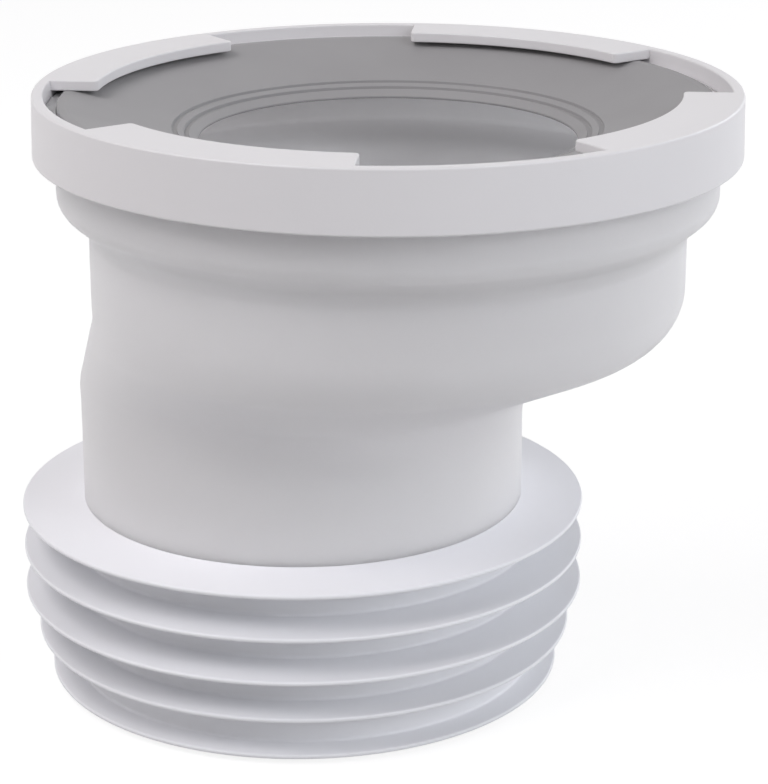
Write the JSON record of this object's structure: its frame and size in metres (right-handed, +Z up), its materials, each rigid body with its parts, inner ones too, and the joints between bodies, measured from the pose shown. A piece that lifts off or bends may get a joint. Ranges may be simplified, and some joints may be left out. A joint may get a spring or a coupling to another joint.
{
  "type": "offset toilet pan connector",
  "caption": "Eccentric pan connector: wide socket with a tabbed collar over a grey funnel seal, rounded offset bend and a finned spigot seal for a soil pipe.",
  "frame": {"origin": "on the spigot axis, at the plane of the outlet end that the part stands on", "axes": "+Z up from the outlet to the pan socket, +X from the spigot axis towards the offset socket axis"},
  "size_m": [0.151, 0.143, 0.1279],
  "materials": {
    "body": "satin moulded polypropylene",
    "collar": "satin moulded polypropylene",
    "inlet_seal": "matt moulded rubber",
    "outlet_seal": "soft matt thermoplastic rubber"
  },
  "bodies": {
    "root": {"body": "body", "retaining_collar": "collar", "inlet_seal": "inlet_seal", "outlet_seal": "outlet_seal"}
  },
  "joints": []
}
